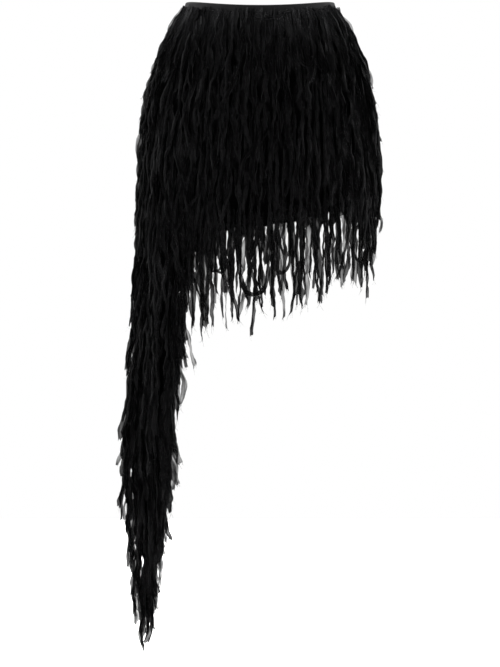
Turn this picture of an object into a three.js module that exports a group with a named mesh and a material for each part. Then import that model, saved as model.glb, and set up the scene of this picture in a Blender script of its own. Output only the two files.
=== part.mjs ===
// Asymmetric fringe mini skirt, in the hollow form it takes when worn.
// A narrow waistband carries a front and a back panel. Their hem slants from a short side (+X)
// to a long side (-X), where both run down into one narrow train. Rows of fringe are sewn on
// all over the outside. Millimetres, +Z up, front facing -Y, origin at the centre of the waist.
import * as THREE from "three";

// Driving dimensions
const CLOTH = 1.5; // wall thickness of the panels
const BAND_CLOTH = 2.2; // the waistband is folded double
const BAND_HEIGHT = 12;
const FRONT_DIP = 14; // the waist is lower at the front centre than at the side seams
const BACK_RISE = 4; // and a little higher at the back centre
const SEAM_GAP = 0.3; // pieces stay this far apart at seams

const CELLS = 60; // columns of cloth all round the skirt
const STEP = 360 / CELLS;
const FOLDS = 10; // soft vertical folds all round the hem

const TAPE_GAP = 0.8; // from the cloth to the tape that carries a row of fringe
const TAPE_THICKNESS = 1.2;
const TAPE_HEIGHT = 5;
const BODY_ROWS = 7; // rows of fringe on each panel above the train
const FIRST_ROW_DROP = 7; // from the waistband to the middle of the first tape
const HEM_MARGIN = 14; // from the middle of the last tape to the hem
const TRAIN_TOP = -490; // rows of the body follow the hem no lower than this
const TRAIN_FIRST_ROW = -530; // height of the first row on the train
const TRAIN_ROW_STEP = 43;
const TRAIN_ROWS = 10;
const TRAIN_MARGIN = 10; // least height of cloth under a row on the train

const LOCK_LENGTH = 122;
const HEM_LOCK_LENGTH = 158; // in the last row of the body, where nothing lies under it
const LOCK_LENGTH_SPREAD = 12;
const LOCK_THICKNESS = 3.2;
const LOCK_LIFT = 0.108; // the rows below push a lock out by this much for each millimetre
const PUSH_END = -311; // on the short side the rows push a lock out down to this height
const PUSH_FALL = 2.5; // and to lower heights away from the short side, per degree
const LOCK_RIDGE = 0.5; // width of a lock's outer face, as a share of its inner one
const LOCK_SWAY = 0.13; // sideways sway, as a share of the spacing between locks
const LOCK_WAVE = 5; // radians of that sway's wave along a whole lock
const FOLLOW_FROM = 3; // a lock follows the cloth sideways once that has flared by this much
const PATH_STEPS = 8; // places that a lock's path is felt at below its root

// The worn form, a row for each height. left is the long side's x; the section is an ellipse
// that starts there, halfWidth to each side of its middle, with its own depth front and back.
const SECTIONS = [
  { z: 10, left: -115, halfWidth: 115, frontDepth: 83, backDepth: 90, foldDepth: 0 },
  { z: -14, left: -123, halfWidth: 123, frontDepth: 88, backDepth: 97, foldDepth: 0 },
  { z: -42, left: -138, halfWidth: 138, frontDepth: 96, backDepth: 108, foldDepth: 0 },
  { z: -74, left: -149, halfWidth: 149, frontDepth: 103, backDepth: 118, foldDepth: 0 },
  { z: -110, left: -160, halfWidth: 160, frontDepth: 109, backDepth: 127, foldDepth: 0.3 },
  { z: -154, left: -171, halfWidth: 170, frontDepth: 115, backDepth: 133, foldDepth: 0.8 },
  { z: -202, left: -177, halfWidth: 176, frontDepth: 118, backDepth: 134, foldDepth: 1.5 },
  { z: -266, left: -180, halfWidth: 179, frontDepth: 119, backDepth: 132, foldDepth: 2.5 },
  { z: -330, left: -182, halfWidth: 178, frontDepth: 119, backDepth: 129, foldDepth: 3.2 },
  { z: -400, left: -184, halfWidth: 177, frontDepth: 118, backDepth: 126, foldDepth: 4 },
  { z: -474, left: -187, halfWidth: 179, frontDepth: 114, backDepth: 120, foldDepth: 4.5 },
  { z: -540, left: -191, halfWidth: 190, frontDepth: 107, backDepth: 112, foldDepth: 5 },
  { z: -600, left: -194, halfWidth: 218, frontDepth: 99, backDepth: 104, foldDepth: 5 },
  { z: -660, left: -198, halfWidth: 250, frontDepth: 93, backDepth: 97, foldDepth: 5 },
  { z: -730, left: -201, halfWidth: 290, frontDepth: 87, backDepth: 90, foldDepth: 4.5 },
  { z: -800, left: -198, halfWidth: 315, frontDepth: 81, backDepth: 84, foldDepth: 4 },
  { z: -870, left: -188, halfWidth: 325, frontDepth: 74, backDepth: 76, foldDepth: 3 },
  { z: -930, left: -173, halfWidth: 325, frontDepth: 67, backDepth: 69, foldDepth: 2 },
  { z: -1060, left: -150, halfWidth: 325, frontDepth: 60, backDepth: 62, foldDepth: 1 },
];

// The hem on either panel, by degrees round from the short side (0) to the long side (180)
const HEM = [
  { fromShortSide: 0, z: -308 },
  { fromShortSide: 20, z: -314 },
  { fromShortSide: 39, z: -322 },
  { fromShortSide: 56, z: -333 },
  { fromShortSide: 73, z: -345 },
  { fromShortSide: 92, z: -352 },
  { fromShortSide: 107, z: -357 },
  { fromShortSide: 117, z: -364 },
  { fromShortSide: 121, z: -380 },
  { fromShortSide: 128, z: -410 },
  { fromShortSide: 133, z: -446 },
  { fromShortSide: 137, z: -520 },
  { fromShortSide: 140, z: -620 },
  { fromShortSide: 144, z: -715 },
  { fromShortSide: 150, z: -785 },
  { fromShortSide: 156, z: -848 },
  { fromShortSide: 162, z: -885 },
  { fromShortSide: 168, z: -915 },
  { fromShortSide: 174, z: -942 },
  { fromShortSide: 180, z: -965 },
];

// Where the rings of a panel lie, as shares of the way from its top edge to its hem
const RING_SHARES = [0, 0.05, 0.1, 0.16, 0.23, 0.31, 0.4, 0.5, 0.6, 0.7, 0.8, 0.9, 1];

// The columns that each panel spans. Columns run from the short side across the front to the
// long side, and on across the back.
const PANELS = {
  front: { first: 0, last: CELLS / 2 },
  back: { first: CELLS / 2, last: CELLS },
};

// Sections of one lock of fringe, as shares of its length; width is a share of the lock spacing
const LOCK_SECTIONS = [
  { along: 0.22, width: 0.5, thickness: 1 },
  { along: 0.5, width: 0.54, thickness: 1 },
  { along: 0.8, width: 0.36, thickness: 0.8 },
];

const BLACK_CLOTH = { color: 0x0b0b0c, roughness: 0.85, metalness: 0 };

// Seeds of the scattered lengths and sways, so that no two rows are alike
const SEED = { front: 0, back: 50, train: 1000, row: 100, lean: 0.31, wave: 0.57 };
const SCATTER = { step: 127.1, shift: 11.7, scale: 43758.5453 };

const radians = (degrees) => (degrees * Math.PI) / 180;
const clamp = (value, low, high) => Math.min(high, Math.max(low, value));

// The same number between 0 and 1 for the same seed every time
function scatter(seed) {
  const value = Math.sin(seed * SCATTER.step + SCATTER.shift) * SCATTER.scale;
  return value - Math.floor(value);
}

// Value of one column of a table at a place along another, on a smooth curve that never
// overshoots its rows
function lookUp(table, along, column, at) {
  const rising = table[table.length - 1][along] > table[0][along];
  const rows = rising ? table : [...table].reverse();
  const place = clamp(at, rows[0][along], rows[rows.length - 1][along]);
  const found = rows.findIndex((row) => row[along] >= place) - 1;
  const i = clamp(found, 0, rows.length - 2);
  const slope = (k) =>
    (rows[k + 1][column] - rows[k][column]) / (rows[k + 1][along] - rows[k][along]);
  const tangent = (k) => {
    if (k === 0) return slope(0);
    if (k === rows.length - 1) return slope(k - 1);
    const before = slope(k - 1);
    const after = slope(k);
    return before * after <= 0 ? 0 : (2 * before * after) / (before + after);
  };
  const width = rows[i + 1][along] - rows[i][along];
  const t = (place - rows[i][along]) / width;
  return (
    rows[i][column] * (2 * t ** 3 - 3 * t ** 2 + 1) +
    tangent(i) * width * (t ** 3 - 2 * t ** 2 + t) +
    rows[i + 1][column] * (3 * t ** 2 - 2 * t ** 3) +
    tangent(i + 1) * width * (t ** 3 - t ** 2)
  );
}

const isFront = (angle) => Math.sin(radians(angle)) >= 0;

function sectionAt(angle, z) {
  const depthColumn = isFront(angle) ? "frontDepth" : "backDepth";
  return {
    left: lookUp(SECTIONS, "z", "left", z),
    halfWidth: lookUp(SECTIONS, "z", "halfWidth", z),
    depth: lookUp(SECTIONS, "z", depthColumn, z),
    foldDepth: lookUp(SECTIONS, "z", "foldDepth", z),
  };
}

function waistHeight(angle) {
  const share = Math.sin(radians(angle)) ** 2;
  return isFront(angle) ? -FRONT_DIP * share : BACK_RISE * share;
}

function hemHeight(angle) {
  return lookUp(HEM, "fromShortSide", "z", fromShortSide(angle));
}

const fromShortSide = (angle) => (angle > 180 ? 360 - angle : angle);

const panelTop = (angle) => waistHeight(angle) - BAND_HEIGHT - SEAM_GAP;

// Outward direction of the worn form, level and without the small folds
function outward(angle, z) {
  const { halfWidth, depth } = sectionAt(angle, z);
  const turn = radians(angle);
  return new THREE.Vector3(depth * Math.cos(turn), -halfWidth * Math.sin(turn), 0).normalize();
}

// A point of the worn form, moved out by some millimetres
function formPoint(angle, z, out) {
  const { left, halfWidth, depth, foldDepth } = sectionAt(angle, z);
  const turn = radians(angle);
  const fold = foldDepth * Math.cos(FOLDS * turn);
  return new THREE.Vector3(
    left + halfWidth * (1 + Math.cos(turn)),
    -depth * Math.sin(turn),
    z,
  ).addScaledVector(outward(angle, z), fold + out);
}

// Collects the faces of one closed solid
class Faces {
  constructor() {
    this.corners = [];
  }
  triangle(a, b, c) {
    for (const point of [a, b, c]) this.corners.push(point.x, point.y, point.z);
  }
  // A four-sided face is split along its shorter diagonal, so it keeps close to the form
  quad(a, b, c, d) {
    if (a.distanceTo(c) <= b.distanceTo(d)) {
      this.triangle(a, b, c);
      this.triangle(a, c, d);
    } else {
      this.triangle(a, b, d);
      this.triangle(b, c, d);
    }
  }
  mesh(name) {
    const geometry = new THREE.BufferGeometry();
    geometry.setAttribute("position", new THREE.Float32BufferAttribute(this.corners, 3));
    geometry.computeVertexNormals();
    const mesh = new THREE.Mesh(geometry, new THREE.MeshStandardMaterial(BLACK_CLOTH));
    mesh.name = name;
    return mesh;
  }
}

// A wall of cloth over a grid of points: rings from top to bottom, columns round the skirt.
// point(ring, column, out) gives a grid point; a closed wall joins its last column to its first.
function wall(name, rings, columns, closed, thickness, point) {
  const faces = new Faces();
  const grid = (out) =>
    Array.from({ length: rings }, (_, i) =>
      Array.from({ length: columns }, (_, j) => point(i, j, out)),
    );
  const outer = grid(thickness / 2);
  const inner = grid(-thickness / 2);
  const last = rings - 1;
  const cells = closed ? columns : columns - 1;
  for (let j = 0; j < cells; j++) {
    const k = (j + 1) % columns;
    for (let i = 0; i < last; i++) {
      faces.quad(outer[i + 1][j], outer[i][j], outer[i][k], outer[i + 1][k]);
      faces.quad(inner[i + 1][j], inner[i + 1][k], inner[i][k], inner[i][j]);
    }
    faces.quad(inner[0][j], inner[0][k], outer[0][k], outer[0][j]);
    faces.quad(inner[last][j], outer[last][j], outer[last][k], inner[last][k]);
  }
  if (!closed) {
    const end = columns - 1;
    for (let i = 0; i < last; i++) {
      faces.quad(inner[i + 1][0], inner[i][0], outer[i][0], outer[i + 1][0]);
      faces.quad(inner[i + 1][end], outer[i + 1][end], outer[i][end], inner[i][end]);
    }
  }
  return faces.mesh(name);
}

function waistband() {
  return wall("waistband", 2, CELLS, true, BAND_CLOTH, (ring, column, out) => {
    const angle = column * STEP;
    return formPoint(angle, waistHeight(angle) - ring * BAND_HEIGHT, out);
  });
}

// Angle of a panel's column. Its columns at the two side seams are drawn in by half the seam's
// gap, which is measured along the cloth.
function columnAngle(side, column, z) {
  const { depth } = sectionAt(side === "front" ? 90 : 270, z);
  const halfGap = THREE.MathUtils.radToDeg(SEAM_GAP / 2 / depth);
  const { first, last } = PANELS[side];
  return clamp(column * STEP, first * STEP + halfGap, last * STEP - halfGap);
}

function panelPoint(side, ring, column, out) {
  const top = panelTop(column * STEP);
  const z = top + (hemHeight(column * STEP) - top) * RING_SHARES[ring];
  return formPoint(columnAngle(side, column, z), z, out);
}

function panel(side) {
  const { first, last } = PANELS[side];
  const columns = last - first + 1;
  return wall(side + "_panel", RING_SHARES.length, columns, false, CLOTH, (ring, column, out) =>
    panelPoint(side, ring, first + column, out),
  );
}

// A point on one of the columns of a panel's own mesh, moved out from the cloth
function onPanel(side, column, z, out) {
  const centre = (ring) => panelPoint(side, ring, column, 0);
  let ring = 0;
  while (ring < RING_SHARES.length - 2 && centre(ring + 1).z > z) ring++;
  const upper = centre(ring);
  const lower = centre(ring + 1);
  const share = (upper.z - z) / (upper.z - lower.z);
  const direction = outward(columnAngle(side, column, z), z);
  return upper.lerp(lower, share).addScaledVector(direction, out);
}

// Position of a lock's middle below its root. It follows the cloth where that flares out, and
// hangs straight down from the widest place that it has passed.
function lockPoint(angle, rootZ, z, out) {
  const root = formPoint(angle, rootZ, 0);
  const normal = outward(angle, z);
  const along = new THREE.Vector3(-normal.y, normal.x, 0);
  let flare = 0;
  let shift = 0;
  for (let i = 1; i <= PATH_STEPS; i++) {
    const height = rootZ + ((z - rootZ) * i) / PATH_STEPS;
    const move = formPoint(angle, height, 0).sub(root);
    if (move.dot(normal) <= flare) continue;
    flare = move.dot(normal);
    shift = move.dot(along) * clamp(flare / FOLLOW_FROM, 0, 1);
  }
  return root.addScaledVector(normal, flare + out).addScaledVector(along, shift).setZ(z);
}

// How far the rows below have pushed a lock out at some drop below its root. Lower than the push
// reaches, it hangs straight down.
function lockLift(angle, rootZ, drop) {
  const lowest = PUSH_END - PUSH_FALL * fromShortSide(angle);
  return LOCK_LIFT * Math.min(drop, Math.max(0, rootZ - lowest));
}

// One lock of fringe: it grows from the bottom face of its tape's cell and ends in a point.
// root holds that face's corners, in the order inner left, outer left, outer right, inner right.
function lock(faces, root, middleAngle, rootZ, length, seed) {
  const spacing = 2 * root[0].clone().setZ(0).distanceTo(root[3].clone().setZ(0));
  const anglePerMm = (2 * STEP) / spacing;
  const lean = 2 * scatter(seed + SEED.lean) - 1;
  const turn = 2 * Math.PI * scatter(seed + SEED.wave);
  const innerOut = CLOTH / 2 + TAPE_GAP;
  let above = root;
  for (const section of LOCK_SECTIONS) {
    const drop = section.along * length;
    const wave = Math.sin(turn + LOCK_WAVE * section.along);
    const sway = (LOCK_SWAY * spacing * (lean + wave)) / 2;
    const halfWidth = (section.width * spacing) / 2;
    const inner = innerOut + lockLift(middleAngle, rootZ, drop);
    const outer = inner + LOCK_THICKNESS * section.thickness;
    const at = (across, out) =>
      lockPoint(middleAngle + (sway + across) * anglePerMm, rootZ, rootZ - drop, out);
    const below = [
      at(-halfWidth, inner),
      at(-halfWidth * LOCK_RIDGE, outer),
      at(halfWidth * LOCK_RIDGE, outer),
      at(halfWidth, inner),
    ];
    for (let i = 0; i < 4; i++) {
      const next = (i + 1) % 4;
      faces.quad(above[i], above[next], below[next], below[i]);
    }
    above = below;
  }
  const tipAngle = middleAngle + LOCK_SWAY * spacing * lean * anglePerMm;
  const tipOut = innerOut + lockLift(middleAngle, rootZ, length) + LOCK_THICKNESS / 2;
  const tip = lockPoint(tipAngle, rootZ, rootZ - length, tipOut);
  for (let i = 0; i < 4; i++) faces.triangle(above[i], above[(i + 1) % 4], tip);
}

// A row of fringe: a tape along the cloth, with a lock on every second cell. stagger is 0 or 1,
// so that locks stand over the gaps of the next row. posts lists where the tape crosses the
// panels' columns, in their order round the skirt.
function fringeRow(name, posts, height, length, stagger, seed) {
  const faces = new Faces();
  const inner = CLOTH / 2 + TAPE_GAP;
  const outer = inner + TAPE_THICKNESS;
  const edges = posts.map(({ side, column }) => {
    const top = height(column * STEP) + TAPE_HEIGHT / 2;
    const bottom = top - TAPE_HEIGHT;
    return {
      column,
      angle: column * STEP,
      bottom,
      innerTop: onPanel(side, column, top, inner),
      innerBottom: onPanel(side, column, bottom, inner),
      outerTop: onPanel(side, column, top, outer),
      outerBottom: onPanel(side, column, bottom, outer),
    };
  });
  for (let j = 0; j + 1 < edges.length; j++) {
    const a = edges[j];
    const b = edges[j + 1];
    faces.quad(a.outerBottom, a.outerTop, b.outerTop, b.outerBottom);
    faces.quad(a.innerBottom, b.innerBottom, b.innerTop, a.innerTop);
    faces.quad(a.innerTop, b.innerTop, b.outerTop, a.outerTop);
    const root = [a.innerBottom, a.outerBottom, b.outerBottom, b.innerBottom];
    if (a.column % 2 !== stagger) {
      faces.quad(...root);
      continue;
    }
    const spread = LOCK_LENGTH_SPREAD * (2 * scatter(seed + j) - 1);
    const middleAngle = (a.angle + b.angle) / 2;
    const rootZ = (a.bottom + b.bottom) / 2;
    lock(faces, root, middleAngle, rootZ, length(middleAngle) + spread, seed + j);
  }
  const first = edges[0];
  const last = edges[edges.length - 1];
  faces.quad(first.innerBottom, first.innerTop, first.outerTop, first.outerBottom);
  faces.quad(last.innerBottom, last.outerBottom, last.outerTop, last.innerTop);
  return faces.mesh(name);
}

function postsBetween(side, first, last) {
  return Array.from({ length: last - first + 1 }, (_, i) => ({ side, column: first + i }));
}

// A row on the body shares out the space between the waistband and the slanting hem
function bodyFringe(side, row) {
  const { first, last } = PANELS[side];
  const height = (angle) => {
    const top = panelTop(angle) - FIRST_ROW_DROP;
    const bottom = Math.max(hemHeight(angle), TRAIN_TOP) + HEM_MARGIN;
    return top + ((bottom - top) * row) / (BODY_ROWS - 1);
  };
  const atHem = (angle) => row === BODY_ROWS - 1 && hemHeight(angle) > TRAIN_TOP;
  const length = (angle) => (atHem(angle) ? HEM_LOCK_LENGTH : LOCK_LENGTH);
  const seed = SEED[side] + SEED.row * row;
  const name = "fringe_" + side + "_" + (row + 1);
  return fringeRow(name, postsBetween(side, first, last), height, length, row % 2, seed);
}

// A row on the train is level and runs from the front edge round the long side to the back edge
function trainFringe(row) {
  const z = TRAIN_FIRST_ROW - row * TRAIN_ROW_STEP;
  const seam = PANELS.front.last;
  let first = 0;
  while (hemHeight(first * STEP) > z - TRAIN_MARGIN) first++;
  const posts = [
    ...postsBetween("front", first, seam),
    ...postsBetween("back", seam + 1, CELLS - first),
  ];
  const stagger = (BODY_ROWS + row) % 2;
  const seed = SEED.train + SEED.row * row;
  const length = () => LOCK_LENGTH;
  return fringeRow("fringe_train_" + (row + 1), posts, () => z, length, stagger, seed);
}

const skirt = new THREE.Group();
skirt.add(waistband(), panel("front"), panel("back"));
for (const side of Object.keys(PANELS)) {
  for (let row = 0; row < BODY_ROWS; row++) skirt.add(bodyFringe(side, row));
}
for (let row = 0; row < TRAIN_ROWS; row++) skirt.add(trainFringe(row));

export default skirt;
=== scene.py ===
"""Looks of an asymmetric fringe mini skirt: black ground cloth under crumpled chiffon strips.

Lengths are in metres, in the frame of the solids: +Z up, the front faces -Y, the train hangs at
-X, and the origin is the centre of the waist. Angles round the skirt are in degrees, from 0 on
the short side across the front to 180 on the long side and on across the back to 360.
"""
import math

import bpy
import numpy as np
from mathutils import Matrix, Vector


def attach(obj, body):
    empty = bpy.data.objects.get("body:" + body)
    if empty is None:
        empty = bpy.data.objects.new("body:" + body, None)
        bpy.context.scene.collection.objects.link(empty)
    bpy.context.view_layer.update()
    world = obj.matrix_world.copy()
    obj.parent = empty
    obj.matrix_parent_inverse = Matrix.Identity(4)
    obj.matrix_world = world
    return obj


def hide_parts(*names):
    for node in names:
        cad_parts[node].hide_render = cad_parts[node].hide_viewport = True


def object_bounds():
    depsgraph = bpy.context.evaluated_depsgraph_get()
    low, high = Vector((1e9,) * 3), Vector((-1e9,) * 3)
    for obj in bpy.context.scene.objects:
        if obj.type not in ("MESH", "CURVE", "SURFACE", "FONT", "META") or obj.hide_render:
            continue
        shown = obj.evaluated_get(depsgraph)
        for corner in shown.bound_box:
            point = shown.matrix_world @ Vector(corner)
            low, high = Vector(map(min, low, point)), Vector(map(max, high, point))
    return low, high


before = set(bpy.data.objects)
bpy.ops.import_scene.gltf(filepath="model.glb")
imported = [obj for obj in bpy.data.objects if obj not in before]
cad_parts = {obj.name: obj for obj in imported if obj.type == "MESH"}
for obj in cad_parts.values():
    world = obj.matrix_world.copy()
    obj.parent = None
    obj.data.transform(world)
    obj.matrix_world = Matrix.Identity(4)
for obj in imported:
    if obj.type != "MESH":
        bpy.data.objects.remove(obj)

cad_box = [list(corner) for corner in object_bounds()]

# The photograph's frame and scale
PHOTO_WIDTH, PHOTO_HEIGHT = 500, 667
METRES_PER_PIXEL = 0.0016
WAIST_PIXEL = (260, 3.5)  # where the origin lies in the photograph
CAMERA_DISTANCE = 4.0
SENSOR = 36  # millimetres
MILLIMETRES = 1000  # in a metre

# The floor, and the white walls that fade into a dimmer ceiling
FLOOR_DROP = 0.002  # the floor lies this far under the solids
FLOOR_REACH = 3
FLOOR_GREY = 0.9
FLOOR_ROUGHNESS = 0.9
FLOOR_GLOW = 0.42  # makes the floor as bright as the walls
WALLS_END = 0.2  # how steeply a ray has to rise to leave the walls
CEILING_STARTS = 0.6
CEILING_LIGHT = 0.22

# Softboxes, with their power in watts
LIGHT_COLUMNS = ("name", "location", "target", "size", "power")
LIGHTS = (
    ("key_light", (-2.9, -1.5, 0.9), (0, 0, -0.4), (1.4, 1.4), 36),
    ("fill_light", (2.6, -1.4, 0.3), (0, 0, -0.4), (1.2, 1.6), 12),
    ("left_light", (-2.2, 0.5, 0.7), (-0.1, 0, -0.2), (1.0, 1.2), 44),
    ("right_light", (2.3, 0.5, 0.4), (0.1, 0, -0.2), (1.0, 1.2), 58),
    ("floor_light", (0, 1.8, 1.4), (0, 1.7, -1.0), (3.6, 2.8), 260),
)

# The worn form as in the solids: at each height an ellipse that starts at left, the long side's x
SECTION_COLUMNS = ("z", "left", "half_width", "front_depth", "back_depth", "fold_depth")
SECTIONS = (
    (0.010, -0.115, 0.115, 0.083, 0.090, 0),
    (-0.014, -0.123, 0.123, 0.088, 0.097, 0),
    (-0.042, -0.138, 0.138, 0.096, 0.108, 0),
    (-0.074, -0.149, 0.149, 0.103, 0.118, 0),
    (-0.110, -0.160, 0.160, 0.109, 0.127, 0.0003),
    (-0.154, -0.171, 0.170, 0.115, 0.133, 0.0008),
    (-0.202, -0.177, 0.176, 0.118, 0.134, 0.0015),
    (-0.266, -0.180, 0.179, 0.119, 0.132, 0.0025),
    (-0.330, -0.182, 0.178, 0.119, 0.129, 0.0032),
    (-0.400, -0.184, 0.177, 0.118, 0.126, 0.0040),
    (-0.474, -0.187, 0.179, 0.114, 0.120, 0.0045),
    (-0.540, -0.191, 0.190, 0.107, 0.112, 0.0050),
    (-0.600, -0.194, 0.218, 0.099, 0.104, 0.0050),
    (-0.660, -0.198, 0.250, 0.093, 0.097, 0.0050),
    (-0.730, -0.201, 0.290, 0.087, 0.090, 0.0045),
    (-0.800, -0.198, 0.315, 0.081, 0.084, 0.0040),
    (-0.870, -0.188, 0.325, 0.074, 0.076, 0.0030),
    (-0.930, -0.173, 0.325, 0.067, 0.069, 0.0020),
    (-1.060, -0.150, 0.325, 0.060, 0.062, 0.0010),
)
FOLDS = 10  # soft vertical folds round the hem

# The hem on either panel, by degrees round from the short side
HEM_COLUMNS = ("from_short_side", "z")
HEM = (
    (0, -0.308), (20, -0.314), (39, -0.322), (56, -0.333), (73, -0.345), (92, -0.352),
    (107, -0.357), (117, -0.364), (121, -0.380), (128, -0.410), (133, -0.446), (137, -0.520),
    (140, -0.620), (144, -0.715), (150, -0.785), (156, -0.848), (162, -0.885), (168, -0.915),
    (174, -0.942), (180, -0.965),
)

FRONT_DIP = 0.014  # the waist is lower at the front centre
BACK_RISE = 0.004  # and a little higher at the back centre
BAND_HEIGHT = 0.012
BAND_CLOTH = 0.0005  # one layer of the folded band
BAND_WIDTH = 0.0014  # between the band's two layers
SEAM_GAP = 0.0003
SEAM_LAP = 0.005  # the front panel runs on behind the back panel at the side seams
SEAM_TUCK = 0.0011  # and lies this far in there
SEAM_MEASURED_AT = -0.2  # the lap is worked out in degrees at this height
TUCK_ENDS = 1  # degrees past twice the lap where the tuck ends
PANEL_CLOTH = 0.0007
PANEL_CUT = (0.54, 0.96)  # the rectangle that a panel is cut from
PANEL_ROWS, PANEL_COLUMNS = 130, 170  # points down and across a panel
BAND_CUT = (0.68, 0.026)
BAND_COLUMNS = 240  # points round the band
BAND_WALL_POINTS = 4  # on either wall of the band
BAND_FOLD_POINTS = 7  # over its fold

# Soft creases of the ground cloth: where each starts and ends, how far it stands out, or in
# where that is negative, and the width that it fades over
CREASE_WANDER = 1.5  # degrees that a crease strays to either side on its way down
CREASE_BENDS = 9  # radians of that wave along a crease
CREASE_STARTS_BY = 0.3  # share of its length where it has its full depth
CREASE_FADES_FROM = 0.6
CREASE_COLUMNS = ("angle", "z", "to_angle", "to_z", "out", "width")
CREASES = (
    (28, -0.070, 44, -0.250, -0.0018, 0.012),
    (47, -0.050, 52, -0.200, 0.0014, 0.010),
    (74, -0.040, 66, -0.170, -0.0012, 0.009),
    (96, -0.110, 103, -0.310, -0.0020, 0.014),
    (112, -0.060, 121, -0.260, 0.0016, 0.012),
    (139, -0.160, 147, -0.470, -0.0022, 0.015),
    (160, -0.300, 157, -0.640, 0.0020, 0.014),
    (171, -0.420, 168, -0.820, -0.0020, 0.013),
    (194, -0.350, 199, -0.780, -0.0022, 0.014),
    (213, -0.120, 206, -0.420, 0.0018, 0.013),
    (236, -0.050, 228, -0.280, -0.0018, 0.012),
    (262, -0.090, 268, -0.300, 0.0016, 0.012),
    (291, -0.040, 283, -0.190, -0.0014, 0.010),
    (318, -0.080, 327, -0.270, 0.0015, 0.012),
    (340, -0.060, 335, -0.230, -0.0012, 0.010),
)

# Rows of fringe, as in the solids
BODY_ROWS = 7
FIRST_ROW_DROP = 0.007
HEM_MARGIN = 0.014
TRAIN_TOP = -0.490
TRAIN_FIRST_ROW = -0.530
TRAIN_ROW_STEP = 0.043
TRAIN_ROWS = 10

# Where the strips of chiffon start. DENSITY has how many there are on each square metre, and the
# share of that right at the hem.
DENSITY = {"body": (2100, 0.3), "train": (1900, 0.8)}
SPARSE_UP_TO = 0.11  # height over the hem where the full density starts
BAND_STRIP_SPACING = 0.0068
BAND_STRIP_ROOTS = (0.001, 0.0075)  # how high over the panel's top edge its strips start
EDGE_STRIP_SPACING = 0.015
HEM_STRIP_ROOTS = (0.001, 0.022)  # how high over the hem its own strips start
# Long strips at the hem and short ones between them: place, spacing, and the hem's height where
# they end
HEM_LINES = (("hem", 0.0115, TRAIN_FIRST_ROW), ("cover", 0.011, TRAIN_TOP))
HEM_RAGGED = 0.003  # the raw edge of the ground cloth waves by this
HEM_WAVES = ((31, 1.0, 0), (53, 0.7, 1), (97, 0.5, 2))  # count all round, share and phase
LOWEST_ROOTS = 0.003  # the scattered strips start at least this high over the hem
LOWEST_ROOT = -0.930  # no scattered strip starts lower than this
TRAIN_SPAN = (120, 240)  # the train lies between these degrees
GOLDEN_SHARE = 0.618034  # steps by this share scatter the roots of neighbours evenly
GOLDEN_SCATTER = 0.1
LINE_SCATTER = (0.2, 0.8)  # where each root lies in its share of a line
AREA_STEPS = 400  # places where the density of the roots is worked out
LINE_STEPS = 1200
ROW_SEED, TRAIN_SEED = 100, 5000  # every row has its own seed

# How long the strips are
OVER_HEM = 0.045  # strips of the last row that start this near over the hem are the hem's own
LOWEST_END = -1.003  # of all but a few strips, at the train's tip
TIP_CURVE = 0.00013  # and higher by this times the square of the degrees from the long side
TIP_SCATTER = (-0.03, 0.004)
SHORT_SIDE_END = -0.350  # on the short side only the hem's own strips hang lower than this
SHORT_SIDE = (55, 85)  # the short side ends between these degrees
LONG_SIDE_DROP = 0.35  # past it they may hang lower by this
SHORT_SIDE_SCATTER = (-0.02, 0.008)
SHORTEST_STRIP = 0.06

# How the strips hang
STATIONS = 32  # points along a strip
RIBS = 9  # faces across a strip
ALONG = np.linspace(0, 1, STATIONS)
ACROSS = np.linspace(-0.5, 0.5, RIBS + 1)
STRIP_SET_OFF = 0.0025  # middle of a strip's root, out from the panel's middle surface
PILE_LIFT = 0.085  # strips below push a strip out by this much for each metre that it hangs
PUSH_END = -0.311  # on the short side that push ends at this height
PUSH_FALL = 0.0025  # and lower by this for each degree away from the short side
MOST_INWARD = 0.6  # a strip swings back by this share of the push at most
LEAST_FALL = 0.25  # a strip drops by at least this share of each step along it
CROSSING_LEAN = 0.45  # strips that cross others lean by this at most
EDGE_MARGIN = 0.03  # strips that start this near over the train's hem lie on its edge
EDGE_TOP = -0.42  # the train's hem is the part that is lower than this
EDGE_LEAN = (-0.03, 0.08)  # strips on the edge lean away from the train
EDGE_LEAN_HEIGHTS = (-0.84, -0.76, -0.66, -0.50)
EDGE_LEAN_SHARES = (1.2, 0.15, 0.15, 1.0)  # how much of that they lean, by their roots' height
HOOKED_SHARE = 0.2
HOOK, SLIGHT_HOOK = 0.010, 0.003  # the spread of how far an end swings aside
MOST_HOOK = 0.15  # an end swings aside by this share of the strip's length at most
LOOSE_SHARE = 0.2
LOOSE = (0.002, 0.008)  # how far the loose strips stand out between root and end
LOOSE_BOW = 1.4  # that bow ends at 1 / 1.4 of the length
FLARING = 0.25  # share of the strips near the long side whose ends stand away from the train
FLARE = (0.002, 0.008)  # how far those ends stand away
FLARE_FROM = 158  # the long side starts at these degrees from the short side
FLARE_HEIGHTS = (-0.80, -0.70, -0.45, -0.30)
FLARE_SHARES = (0.0, 0.8, 0.8, 0.4)  # how much of that, by their roots' height

# Waves along each strip: the two periods in metres, how deep they are, and the share of the strip
# over which they start. The sway's depth comes from the strip's place.
WAVE_COLUMNS = ("periods", "depth", "starts_by")
WAVES = {
    "sway": ((0.12, 0.065), 1.0, 0.2),
    "kinks": ((0.030, 0.018), 0.0005, 0),
    "swing": ((0.09, 0.05), 0.0015, 0.3),
    "curl": ((0.07, 0.04), 0.14, 0),
    "cut": ((0.04, 0.02), 0.12, 0),
    "twist": ((0.12, 0.07), 0.6, 0),
    "pleats": ((0.08, 0.04), 0.8, 0),
}
WAVE_STRETCH = (0.7, 1.4)  # each strip's periods differ by this factor

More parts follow.
